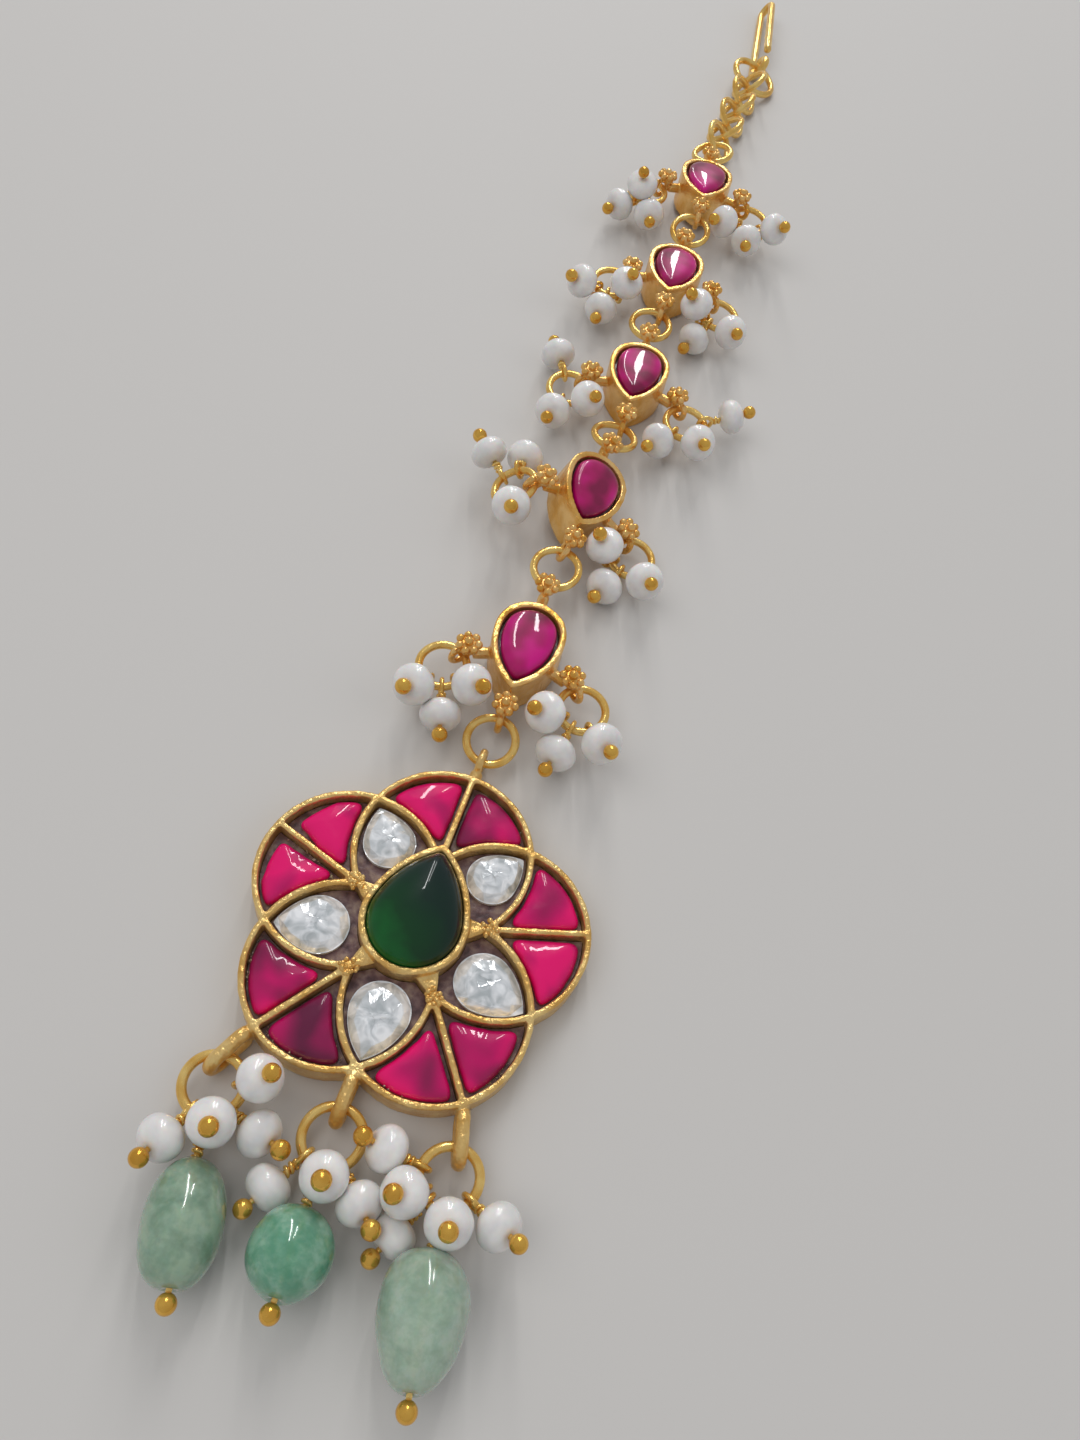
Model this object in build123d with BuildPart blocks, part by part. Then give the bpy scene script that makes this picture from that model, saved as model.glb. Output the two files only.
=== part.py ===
"""A maang tikka: a forehead jewel of a flower pendant, five pear links, a chain and a hook.

It lies on its flat back as it would on a table. Millimetres. The origin is the centre of the
flower on its back face, +Y runs towards the hook and +Z is up. Headings are degrees clockwise
from +Y, seen from above, and lifts are degrees above the table.
"""
import os
from math import acos, asin, cos, degrees, radians, sin, sqrt

from build123d import *

os.makedirs("parts", exist_ok=True)

# Clearances
GAP = 0.05  # between a setting and what it holds
REST = 0.02  # height of the lowest metal over the table

# The flower: five round petals that overlap, with a wire wall along every circle
PETALS = 5
PETAL_TURN = 360 / PETALS
PETAL_RADIUS = 6.75
PETAL_OFFSET = 6.0  # from the flower's centre to a petal's
PETAL_REACH = PETAL_OFFSET + PETAL_RADIUS
WIRE = 0.45
FLOWER_FLOOR = 0.6
FLOWER_HEIGHT = 2.6
LAC_TOP = 1.5
RUBY_MARGIN = 0.3  # lac that shows round a ruby in its cell
RUBY_TOP = 2.25
RUBY_CORNER = 0.35
POLKI_TIP = 9.75  # from the flower's centre to a polki's point
POLKI_SIDE = 5.0
POLKI_TOP = 2.5
POLKI_TABLE_INSET = 0.7

# The green cabochon in its pear bezel, whose round end is towards the drops
BEZEL_CENTRE = (-0.05, 0.15)
BEZEL = (7.8, 10.15, 8.5)  # width, length, radius of the sides
BEZEL_WALL = 0.5
BEZEL_HEIGHT = 3.2

# The links: deep pear boxes whose points face the flower
LINK = (6.0, 8.7, 6.3)  # width, length, radius of the sides
LINK_ROUND = LINK[1] / 2 - LINK[0] / 2  # from the link's middle to its round end's centre
LINK_WALL = 0.55
LINK_FLOOR = 0.5
LINK_DEPTH = 3.8
LINK_LAC_TOP = 2.9
LINK_RUBY_MARGIN = 0.35
LINK_RUBY_TOP = 4.0
LINK_RUBY_BEVEL = 0.3

# Eyes stand on edge round the links and the flower, each with a neck and a rosette of granules
EYE_RADIUS = 0.95
EYE_WIRE = 0.3
EYE_HEIGHT = 2.2
NECK_RADIUS = 0.5
NECK_ROOT = 0.35  # how far a neck is sunk in its wall
ROSETTE_RADIUS = 1.15
ROSETTE_FOOT = 2.9
ROSETTE_TOP = 3.95
ROSETTE_CROWN = 0.4
FLOWER_EYE_REACH = 1.85
FLOWER_EYE_DROP = -0.8  # the flower's eye stands lower than a link's

# Rings
RING_RADIUS = 1.96
RING_WIRE = 0.34
CHAIN_RADIUS = 2.15
CHAIN_WIRE = 0.36
END_RING_RADIUS = 2.8
END_RING_WIRE = 0.4

# Pearls and beads on ball-ended pins
PEARL_HALF_HEIGHT = 1.2
LINK_PEARL_RADIUS = 1.7
DROP_PEARL_RADIUS = 1.55
BORE = 0.26
PIN_EYE_RADIUS = 0.7
PIN_WIRE = 0.19
PIN_PLAY = 0.12  # from the ring's wire to the centre of the pin's eye
PIN_WRAP_RADIUS = 0.36
PEARL_STEM = 1.6  # from the ring's wire to the pearl
BALL_RADIUS = 0.7

# The bails under the flower
BAIL_LENGTH = 4.1
BAIL_WIDTH = 2.6
BAIL_WIRE = 0.44
BAIL_HEIGHT = 1.5
BAIL_SUNK = 0.3  # how far a bail is sunk in the flower's rim

# The hook
HOOK_WIRE = 0.5
HOOK_EYE_RADIUS = 1.2
HOOK_SHANK = 15.6
HOOK_BEND = 1.0
HOOK_RETURN = 12.5
HOOK_FLARE = 2  # degrees by which the return leg opens from the shank

# The polkis: heading, width, length
POLKIS = (
    (324, 3.9, 4.9),
    (36, 3.8, 4.8),
    (252, 4.3, 5.3),
    (180, 4.3, 5.6),
    (108, 4.3, 5.6),
)

# The sections of the green cabochon: height, inset from its girdle
STONE_SECTIONS = (
    (LAC_TOP + GAP, 0.0),
    (2.9, 0.0),
    (3.7, 0.25),
    (4.3, 0.8),
    (4.6, 1.6),
)

# The links: middle x and y, turn anticlockwise, pitch up of the round end, roll up of the left side
LINKS = (
    (0.0, 25.2, 2, 2, 0),
    (-0.8, 43.1, 0, 0, 20),
    (0.1, 60.9, 4, 0, 0),
    (-0.4, 78.2, 3, -2, 0),
    (-0.9, 95.4, 6, -5, 0),
)

# Where the eyes stand on a link: root x and y, heading, reach of the eye, of its rosette, turn of the eye
TIP_LUG = (0.0, -LINK[1] / 2, 180, 2.1, 1.5, 0)
TOP_LUG = (0.0, LINK[1] / 2, 0, 2.8, 2.2, 0)
LEFT_LUG = (-2.55, -0.85, 250, 2.5, 2.0, -30)
RIGHT_LUG = (2.55, -0.85, 110, 2.5, 2.0, 210)
LUGS = (TIP_LUG, TOP_LUG, LEFT_LUG, RIGHT_LUG)

# The rings and pearls at each link's sides. Ring: heading, dip, twist. Pins: place round the ring
# from its far side, lean from straight out, lift.
LEFT_CLUSTERS = (
    ((210, 5, 0), ((-12, 0, 45), (-48, 0, 5), (-85, 0, 50))),
    ((255, 30, 0), ((52, 5, 10), (98, 5, -20), (-85, 0, 45))),
    ((215, 5, 0), ((115, 0, 0), (-30, 0, 20), (-75, 0, 50))),
    ((210, 5, 0), ((10, 0, 35), (-65, 0, 65), (-30, 0, 5))),
    ((215, 5, 0), ((-25, 0, 70), (-5, 0, 5), (-50, 0, 10))),
)
RIGHT_CLUSTERS = (
    ((145, 5, 0), ((80, 0, 50), (45, 0, 5), (0, 0, 40))),
    ((145, 5, 0), ((90, 0, 65), (52, 0, 12), (8, 0, 45))),
    ((145, 5, 0), ((60, 0, 15), (10, 0, 40), (-85, 0, 15))),
    ((145, 5, 0), ((80, 0, 55), (55, 0, -5), (10, 0, 35))),
    ((140, 5, 0), ((77, 0, 25), (35, 0, 15), (-7, 0, 42))),
)

# The bails: heading and reach of the foot, heading of the bail, reach of its ring
BAILS = (
    (216, PETAL_REACH, 205, 2.2),
    (180, 10.4, 180, 2.4),
    (144, PETAL_REACH, 165, 2.4),
)

# The drops. Ring as above. Bead: radius, half length, stem. Pins as above, the bead's first.
DROPS = (
    (
        (175, 0, 0),
        (2.5, 3.75, 2.6),
        ((-6, -5, 10), (22, 0, 32), (-24, 0, 72), (-102, 0, 65), (-52, -15, 20)),
    ),
    (
        (175, 0, 0),
        (2.6, 2.75, 2.5),
        ((8, -8, 15), (42, -8, 5), (-12, 12, 75), (-40, 0, 25)),
    ),
    (
        (180, 0, 0),
        (2.75, 3.95, 2.4),
        ((0, -10, 12), (92, 0, 30), (50, 0, 65), (27, 0, 5), (-20, 15, 70), (-64, 0, 36)),
    ),
)

# The chain: its first ring's centre, heading, pitch, height, and the tilt of each ring in turn
CHAIN_START = (-1.6, 104.6)
CHAIN_HEADING = 3
CHAIN_PITCH = 3.0
CHAIN_HEIGHT = 2.0
CHAIN_TILTS = (15, -50, 40, -45, 45, -45, 45)
END_RING_TILT = -20
END_RING_REACH = 20.7
END_RING_HEIGHT = 1.6

# The hook: its eye's centre, heading and tilt
HOOK_PLACE = (-0.35, 128.15)
HOOK_HEADING = -7
HOOK_TILT = 60


def direction(heading, lift=0.0):
    """A unit vector at a heading and a lift."""
    level = cos(radians(lift))
    return Vector(level * sin(radians(heading)), level * cos(radians(heading)), sin(radians(lift)))


def save(part, name):
    """Label a finished piece and write it to its own file."""
    part.label = name
    export_step(part, f"parts/{name}.step")


def pear(width, length, side, inset=0.0):
    """A pear outline with its round end centred on the origin and its tip on +Y."""
    base = width / 2
    tip = length - base
    reach = side - base
    lift = asin((side**2 - reach**2 - tip**2) / (2 * tip * reach))
    across = reach * cos(lift)
    down = reach * sin(lift)
    flank = side - inset
    turn = degrees(acos(across / flank) - lift)
    start = degrees(lift)
    with BuildSketch() as outline:
        with BuildLine():
            CenterArc((0, 0), base - inset, 180 - start, 180 + 2 * start)
            CenterArc((-across, -down), flank, start, turn)
            CenterArc((across, -down), flank, 180 - start - turn, turn)
        make_face()
    return outline.sketch


def petal_disc(index, radius, mode=Mode.ADD):
    """A disc centred on one petal's centre."""
    centre = PETAL_OFFSET * direction(index * PETAL_TURN)
    with Locations((centre.X, centre.Y)):
        Circle(radius, mode=mode)


def bezel_outline(inset, mode=Mode.ADD):
    """The bezel's pear, drawn in by an inset."""
    with Locations(BEZEL_CENTRE):
        add(pear(*BEZEL, inset), mode=mode)


def ruby_cells(index, margin):
    """One petal's two ruby cells, each drawn in by a margin."""
    with BuildSketch() as cells:
        petal_disc(index, PETAL_RADIUS - WIRE - margin)
        petal_disc(index - 1, PETAL_RADIUS + margin, Mode.SUBTRACT)
        petal_disc(index + 1, PETAL_RADIUS + margin, Mode.SUBTRACT)
        with Locations(Location((0, 0), -index * PETAL_TURN)):
            Rectangle(WIRE + 2 * margin, 3 * PETAL_REACH, mode=Mode.SUBTRACT)
        bezel_outline(-margin, Mode.SUBTRACT)
    return cells.sketch


def polki_cell(index, margin):
    """The cell where two neighbouring petals overlap, drawn in by a margin."""
    with BuildSketch() as cell:
        petal_disc(index, PETAL_RADIUS - WIRE - margin)
        petal_disc(index + 1, PETAL_RADIUS - WIRE - margin, Mode.INTERSECT)
        petal_disc(index - 1, PETAL_RADIUS + margin, Mode.SUBTRACT)
        petal_disc(index + 2, PETAL_RADIUS + margin, Mode.SUBTRACT)
        bezel_outline(-margin, Mode.SUBTRACT)
    return cell.sketch


def link_outline(inset):
    """A link's pear, drawn in by an inset, with its tip on -Y."""
    with BuildSketch() as outline:
        with Locations((0, LINK_ROUND)):
            add(pear(*LINK, inset), rotation=180)
    return outline.sketch


def eye_form(reach, rosette_reach, turn):
    """An eye on its neck, under a rosette. It reaches along +Y from a wall at the origin."""
    with BuildPart() as lug:
        neck_plane = Plane((0, -NECK_ROOT, EYE_HEIGHT), x_dir=(1, 0, 0), z_dir=(0, 1, 0))
        with BuildSketch(neck_plane):
            Circle(NECK_RADIUS)
        extrude(amount=NECK_ROOT + reach - EYE_RADIUS)
        with Locations(Plane((0, reach, EYE_HEIGHT), z_dir=direction(90 + turn))):
            Torus(EYE_RADIUS, EYE_WIRE)
        if rosette_reach:
            with BuildSketch(Plane.XY.offset(ROSETTE_FOOT)):
                with Locations((0, rosette_reach)):
                    Circle(ROSETTE_RADIUS)
            extrude(amount=ROSETTE_TOP - ROSETTE_FOOT)
            fillet(lug.faces().sort_by(Axis.Z)[-1].edges(), ROSETTE_CROWN)
    return lug.part


def placed_on(root_x, root_y, heading, height=0.0):
    """The plane of something that reaches out from a wall at a heading."""
    return Plane((root_x, root_y, height), x_dir=direction(heading + 90), z_dir=(0, 0, 1))


def link_plane(x, y, turn, pitch, roll):
    """A link's plane: its back's middle, raised so that its lowest edge rests on the table."""
    height = REST + sin(radians(abs(pitch))) * LINK[1] / 2 + sin(radians(abs(roll))) * LINK[0] / 2
    return Plane((x, y, height)).rotated((turn, pitch, roll), ordering=Intrinsic.ZXY)


def lug_eye(plane, lug):
    """The centre of one of a link's eyes."""
    root_x, root_y, heading, reach, _, _ = lug
    at = Vector(root_x, root_y, EYE_HEIGHT) + reach * direction(heading)
    return plane.from_local_coords(at)


def hanging_plane(eye, heading, dip, twist, radius=RING_RADIUS):
    """The plane of a ring that hangs from an eye, with its x axis away from the eye."""
    away = direction(heading, -dip)
    level = direction(heading + 90)
    across = level * cos(radians(twist)) + level.cross(away) * sin(radians(twist))
    return Plane(eye + radius * away, x_dir=away, z_dir=away.cross(across))


def joining_plane(start, end):
    """The plane of a ring through two eyes: as near as it reaches to both centres."""
    along = end - start
    bow = sqrt(max(RING_RADIUS**2 - (along.length / 2) ** 2, 0))
    sideways = Vector(-along.Y, along.X, 0).normalized()
    return Plane((start + end) / 2 + bow * sideways, x_dir=along, z_dir=along.cross(sideways))


def pin_plane(ring, ring_heading, place, lean, lift):
    """The plane of a pin: it starts on the ring's wire, z along the pin and x along the wire."""
    turn = radians(place)
    start = ring.from_local_coords(Vector(RING_RADIUS * cos(turn), RING_RADIUS * sin(turn), 0))
    wire = ring.x_dir * -sin(turn) + ring.y_dir * cos(turn)
    along = direction(ring_heading + place + lean, lift)
    return Plane(start, x_dir=wire - along * wire.dot(along), z_dir=along)


def pin_form(stem, bead_length):
    """A pin with its eye round the wire at the origin, a wrapped neck, and a ball past its bead."""
    ball = stem + bead_length + GAP + BALL_RADIUS
    with BuildPart() as pin:
        with Locations(Plane((0, 0, PIN_PLAY), z_dir=(1, 0, 0))):
            Torus(PIN_EYE_RADIUS, PIN_WIRE)
        with BuildSketch(Plane.XY.offset(PIN_PLAY + PIN_EYE_RADIUS)):
            Circle(PIN_WRAP_RADIUS)
        extrude(amount=stem - PIN_PLAY - PIN_EYE_RADIUS - GAP)
        with BuildSketch(Plane.XY.offset(PIN_PLAY + PIN_EYE_RADIUS)):
            Circle(PIN_WIRE)
        extrude(amount=ball - PIN_PLAY - PIN_EYE_RADIUS)
        with Locations((0, 0, ball)):
            Sphere(BALL_RADIUS)
    return pin.part


def bead_form(radius, half_length, stem):
    """A rounded bead on its bore, standing on a pin's stem."""
    middle = stem + half_length
    with BuildPart() as bead:
        with BuildSketch(Plane.XZ):
            with Locations((0, middle)):
                Ellipse(radius, half_length)
            with Locations((BORE, middle)):
                Rectangle(4 * radius, 4 * half_length, align=(Align.MAX, Align.CENTER), mode=Mode.SUBTRACT)
        revolve(axis=Axis.Z)
    return bead.part


def stamp(forms):
    """One node of several solids: each form placed on its plane."""
    with BuildPart() as node:
        for form, plane in forms:
            with Locations(plane):
                add(form)
    return node.part


# The flower's setting: petals with pockets, the bezel, the top eye and the bails
with BuildPart() as flower_setting:
    with BuildSketch():
        for petal in range(PETALS):
            petal_disc(petal, PETAL_RADIUS)
    extrude(amount=FLOWER_HEIGHT)
    with BuildSketch():
        bezel_outline(0)
    extrude(amount=BEZEL_HEIGHT)
    with BuildSketch(Plane.XY.offset(FLOWER_FLOOR)):
        for petal in range(PETALS):
            add(ruby_cells(petal, 0))
            add(polki_cell(petal, 0))
    extrude(amount=FLOWER_HEIGHT, mode=Mode.SUBTRACT)
    with BuildSketch(Plane.XY.offset(LAC_TOP)):
        bezel_outline(BEZEL_WALL)
    extrude(amount=BEZEL_HEIGHT, mode=Mode.SUBTRACT)
    with Locations(placed_on(0, PETAL_REACH, 0, FLOWER_EYE_DROP)):
        add(eye_form(FLOWER_EYE_REACH, 0, 0))
    for foot_heading, foot_reach, heading, _ in BAILS:
        foot = foot_reach * direction(foot_heading)
        middle = foot + (BAIL_LENGTH / 2 - BAIL_SUNK) * direction(heading) + Vector(0, 0, BAIL_HEIGHT)
        side = direction(heading + 90)
        bend = BAIL_WIDTH / 2 - BAIL_WIRE
        straight = BAIL_LENGTH - BAIL_WIDTH
        with BuildLine(Plane(middle, x_dir=direction(heading), z_dir=side)) as loop:
            Line((-straight / 2, -bend), (straight / 2, -bend))
            CenterArc((straight / 2, 0), bend, -90, 180)
            Line((straight / 2, bend), (-straight / 2, bend))
            CenterArc((-straight / 2, 0), bend, 90, 180)
        with BuildSketch(Plane(loop.edges()[0] @ 0.5, z_dir=direction(heading))):
            Circle(BAIL_WIRE)
        sweep(path=loop.wire())
save(flower_setting.part, "flower_setting")

# The lac that fills the flower's cells under the stones
with BuildPart() as pendant_lac:
    with BuildSketch(Plane.XY.offset(FLOWER_FLOOR + GAP)):
        for petal in range(PETALS):
            add(ruby_cells(petal, GAP))
            add(polki_cell(petal, GAP))
    extrude(amount=LAC_TOP - FLOWER_FLOOR - GAP)
save(pendant_lac.part, "pendant_lac")

# The rubies, a pair to a petal
for petal in range(PETALS):
    with BuildPart() as petal_rubies:
        with BuildSketch(Plane.XY.offset(LAC_TOP + GAP)) as outline:
            add(ruby_cells(petal, RUBY_MARGIN))
            fillet(outline.vertices(), RUBY_CORNER)
        extrude(amount=RUBY_TOP - LAC_TOP - GAP)
    save(petal_rubies.part, f"petal_rubies_{petal + 1}")

# The polkis, clear pear stones with their points towards the gaps between the petals
for number, (heading, width, length) in enumerate(POLKIS, 1):
    middle = (POLKI_TIP - length + width / 2) * direction(heading)
    with BuildPart() as polki:
        for height, inset in ((LAC_TOP + GAP, 0), (POLKI_TOP, POLKI_TABLE_INSET)):
            with BuildSketch(Plane.XY.offset(height)):
                with Locations((middle.X, middle.Y)):
                    add(pear(width, length, POLKI_SIDE, inset), rotation=-heading)
        loft()
    save(polki.part, f"polki_{number}")

# The green cabochon
with BuildPart() as centre_stone:
    for height, inset in STONE_SECTIONS:
        with BuildSketch(Plane.XY.offset(height)):
            bezel_outline(BEZEL_WALL + GAP + inset)
    loft()
save(centre_stone.part, "centre_stone")

# The links: a setting, its lac and its ruby, and the rings and pearls at its sides
with BuildPart() as setting_form:
    with BuildSketch():
        add(link_outline(0))
    extrude(amount=LINK_DEPTH)
    with BuildSketch(Plane.XY.offset(LINK_FLOOR)):
        add(link_outline(LINK_WALL))
    extrude(amount=LINK_DEPTH, mode=Mode.SUBTRACT)
    for root_x, root_y, heading, reach, rosette_reach, turn in LUGS:
        with Locations(placed_on(root_x, root_y, heading)):
            add(eye_form(reach, rosette_reach, turn))

with BuildPart() as lac_form:
    with BuildSketch(Plane.XY.offset(LINK_FLOOR + GAP)):
        add(link_outline(LINK_WALL + GAP))
    extrude(amount=LINK_LAC_TOP - LINK_FLOOR - GAP)

with BuildPart() as ruby_form:
    with BuildSketch(Plane.XY.offset(LINK_LAC_TOP + GAP)):
        add(link_outline(LINK_WALL + LINK_RUBY_MARGIN))
    extrude(amount=LINK_RUBY_TOP - LINK_LAC_TOP - GAP)
    chamfer(ruby_form.faces().sort_by(Axis.Z)[-1].edges(), LINK_RUBY_BEVEL)

with BuildPart() as side_ring_form:
    Torus(RING_RADIUS, RING_WIRE)

link_pin_form = pin_form(PEARL_STEM, 2 * PEARL_HALF_HEIGHT)
link_pearl_form = bead_form(LINK_PEARL_RADIUS, PEARL_HALF_HEIGHT, PEARL_STEM)
link_planes = [link_plane(*row) for row in LINKS]
save(stamp([(lac_form.part, plane) for plane in link_planes]), "link_lac")

for number, plane in enumerate(link_planes, 1):
    save(stamp([(setting_form.part, plane)]), f"link_setting_{number}")
    save(stamp([(ruby_form.part, plane)]), f"link_ruby_{number}")
    rings = []
    pins = []
    for lug, (ring_pose, pin_rows) in (
        (LEFT_LUG, LEFT_CLUSTERS[number - 1]),
        (RIGHT_LUG, RIGHT_CLUSTERS[number - 1]),
    ):
        ring = hanging_plane(lug_eye(plane, lug), *ring_pose)
        rings.append(ring)
        pins += [pin_plane(ring, ring_pose[0], *pin_row) for pin_row in pin_rows]
    save(stamp([(side_ring_form.part, ring) for ring in rings]), f"side_rings_{number}")
    save(stamp([(link_pin_form, pin) for pin in pins]), f"link_pins_{number}")
    save(stamp([(link_pearl_form, pin) for pin in pins]), f"link_pearls_{number}")

# The rings that join the flower and the links
flower_eye = Vector(0, PETAL_REACH + FLOWER_EYE_REACH, EYE_HEIGHT + FLOWER_EYE_DROP)
starts = [flower_eye] + [lug_eye(plane, TOP_LUG) for plane in link_planes[:-1]]
ends = [lug_eye(plane, TIP_LUG) for plane in link_planes]
for number, (start, end) in enumerate(zip(starts, ends), 1):
    save(stamp([(side_ring_form.part, joining_plane(start, end))]), f"ring_{number}")

# The drops: a ring on each bail, with a green bead and pearls on it
drop_pearl_form = bead_form(DROP_PEARL_RADIUS, PEARL_HALF_HEIGHT, PEARL_STEM)
drop_pin_form = pin_form(PEARL_STEM, 2 * PEARL_HALF_HEIGHT)
for number, (bail, drop) in enumerate(zip(BAILS, DROPS), 1):
    foot_heading, foot_reach, heading, ring_reach = bail
    ring_pose, (radius, half_length, stem), pin_rows = drop
    hang = foot_reach * direction(foot_heading) + ring_reach * direction(heading)
    ring = hanging_plane(hang + Vector(0, 0, BAIL_HEIGHT), *ring_pose)
    bead_pin, *pearl_pins = [pin_plane(ring, ring_pose[0], *pin_row) for pin_row in pin_rows]
    bead_pin_form = pin_form(stem, 2 * half_length)
    save(stamp([(side_ring_form.part, ring)]), f"drop_ring_{number}")
    save(stamp([(bead_form(radius, half_length, stem), bead_pin)]), f"green_bead_{number}")
    save(stamp([(drop_pearl_form, pin) for pin in pearl_pins]), f"drop_pearls_{number}")
    drop_pins = [(bead_pin_form, bead_pin)] + [(drop_pin_form, pin) for pin in pearl_pins]
    save(stamp(drop_pins), f"drop_pins_{number}")

# The chain of rings, with a larger ring at its end
along_chain = direction(CHAIN_HEADING)
with BuildPart() as chain:
    for count, tilt in enumerate(CHAIN_TILTS):
        middle = Vector(*CHAIN_START, CHAIN_HEIGHT) + count * CHAIN_PITCH * along_chain
        with Locations(hanging_plane(middle, CHAIN_HEADING, 0, tilt, 0)):
            Torus(CHAIN_RADIUS, CHAIN_WIRE)
    middle = Vector(*CHAIN_START, END_RING_HEIGHT) + END_RING_REACH * along_chain
    with Locations(hanging_plane(middle, CHAIN_HEADING, 0, END_RING_TILT, 0)):
        Torus(END_RING_RADIUS, END_RING_WIRE)
save(chain.part, "chain")

# The hook: a wire eye, a straight shank and a narrow crook
hook_height = REST + HOOK_WIRE + HOOK_EYE_RADIUS * sin(radians(HOOK_TILT))
hook_plane = hanging_plane(Vector(*HOOK_PLACE, hook_height), HOOK_HEADING, 0, HOOK_TILT, 0)
with BuildPart() as hook:
    with Locations(hook_plane):
        Torus(HOOK_EYE_RADIUS, HOOK_WIRE)
    with BuildLine(hook_plane) as route:
        Line((0, -HOOK_EYE_RADIUS), (HOOK_SHANK, -HOOK_EYE_RADIUS))
        crook = CenterArc((HOOK_SHANK, HOOK_BEND - HOOK_EYE_RADIUS), HOOK_BEND, -90, 180 - HOOK_FLARE)
        PolarLine(crook @ 1, HOOK_RETURN, direction=crook % 1)
    with BuildSketch(Plane(route.wire() @ 0, z_dir=route.wire() % 0)):
        Circle(HOOK_WIRE)
    sweep(path=route.wire())
    with Locations(route.wire() @ 1):
        Sphere(HOOK_WIRE)
save(hook.part, "hook")
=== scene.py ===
"""The look of the maang tikka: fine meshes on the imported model's solids, materials, light and camera.

Metres, in the model's own frame: the flower's centre is the origin, +Y runs to the hook, +Z is up.
Headings are degrees clockwise from +Y, as seen from above.
"""

import math
import random

import bmesh
import bpy
import numpy as np
from mathutils import Matrix, Vector, noise


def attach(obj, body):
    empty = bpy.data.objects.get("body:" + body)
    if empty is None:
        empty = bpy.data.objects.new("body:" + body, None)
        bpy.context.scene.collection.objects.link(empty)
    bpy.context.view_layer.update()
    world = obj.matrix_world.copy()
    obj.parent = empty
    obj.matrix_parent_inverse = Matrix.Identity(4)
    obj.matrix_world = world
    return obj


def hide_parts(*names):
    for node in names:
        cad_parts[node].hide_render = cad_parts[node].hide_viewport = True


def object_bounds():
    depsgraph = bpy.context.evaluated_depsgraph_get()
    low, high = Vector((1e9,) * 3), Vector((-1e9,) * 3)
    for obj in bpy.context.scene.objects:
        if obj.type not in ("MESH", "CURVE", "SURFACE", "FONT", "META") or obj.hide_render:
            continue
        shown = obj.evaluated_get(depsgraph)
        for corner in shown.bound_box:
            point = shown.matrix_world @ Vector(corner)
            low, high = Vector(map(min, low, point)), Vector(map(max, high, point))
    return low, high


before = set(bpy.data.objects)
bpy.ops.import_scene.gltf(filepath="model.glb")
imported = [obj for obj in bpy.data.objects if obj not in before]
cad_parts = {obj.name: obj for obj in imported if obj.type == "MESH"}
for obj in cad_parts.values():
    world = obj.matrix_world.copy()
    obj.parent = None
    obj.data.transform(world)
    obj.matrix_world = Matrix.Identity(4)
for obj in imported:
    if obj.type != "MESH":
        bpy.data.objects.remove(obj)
cad_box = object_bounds()
rng = random.Random(11)
MM = 0.001
WELD = 0.002 * MM
BODY = "root"

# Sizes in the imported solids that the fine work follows
FLOWER_TOP = 2.6 * MM
LAC_TOP = 1.5 * MM
PETAL_OFFSET = 6.0 * MM
PETAL_RADIUS = 6.75 * MM
ROSETTE_LIFT = 3.9 * MM  # the height on a link above which only its rosettes reach
PIN_EYE = 0.7 * MM
BALL = 0.7 * MM

# Sizes of the fine work
GRANULE = 0.36 * MM
ROSETTE_RING = 0.78 * MM
ROSETTE_GRANULES = 7
KNOT_REACH = 5.3 * MM
KNOT_SPREAD = 0.62 * MM
KNOT_GRAINS = 26
KNOT_HEADINGS = (72, 144, 216, 288)
BAIL_SWELL = 0.05 * MM
RUBY_GROWTH = 0.14 * MM
OUTLINE = 120  # points round a stone
FACETS = 14
PIN_WIRE = 0.19 * MM
COIL_REACH = 0.26 * MM
COIL_WIRE = 0.145 * MM

# How far a pin's neck reaches from the middle of its loop, at a pearl and at each bead
PEARL_STEM = 1.6 * MM
BEAD_STEMS = (2.6 * MM, 2.5 * MM, 2.4 * MM)

# The green beads: how full each is, widening to its pin's end (+) or its ring's (-), unevenness
BEAD_SHAPES = (
    (0.80, 0.02, 0.045),
    (0.92, 0.0, 0.035),
    (0.84, -0.18, 0.05),
)

# The flower's rubies: heading, how bright the painted reflection of its foil is, heading it is cut back
# from, share cut back
RUBIES = (
    (346, 0.95, 300, 0.06),
    (14, 0.35, 350, 0.04),
    (58, 0.85, 90, 0.03),
    (86, 0.75, 20, 0.03),
    (130, 0.40, 90, 0.05),
    (158, 0.65, 30, 0.08),
    (202, 0.15, 60, 0.04),
    (230, 0.55, 90, 0.05),
    (274, 0.85, 330, 0.16),
    (302, 1.00, 270, 0.26),
)

# Where foil crumbs lie beside a flower's ruby: its heading, first and last heading round it, count
CRUMBS = (
    (274, 330, 100, 60),
    (302, 180, 250, 10),
    (230, 230, 320, 22),
    (202, 180, 260, 26),
    (202, 90, 130, 10),
    (158, 170, 240, 14),
    (130, 70, 160, 16),
    (14, 60, 120, 8),
)


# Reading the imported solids

def welded(node):
    """A node's points and triangles, with the points that share a place made one."""
    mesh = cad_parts[node].data
    points = np.empty(len(mesh.vertices) * 3)
    mesh.vertices.foreach_get("co", points)
    points = points.reshape(-1, 3)
    mesh.calc_loop_triangles()
    faces = np.empty(len(mesh.loop_triangles) * 3, int)
    mesh.loop_triangles.foreach_get("vertices", faces)
    _, first, same = np.unique(
        np.round(points / WELD).astype(int), axis=0, return_index=True, return_inverse=True
    )
    return points[first], same.reshape(-1)[faces].reshape(-1, 3)


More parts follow.
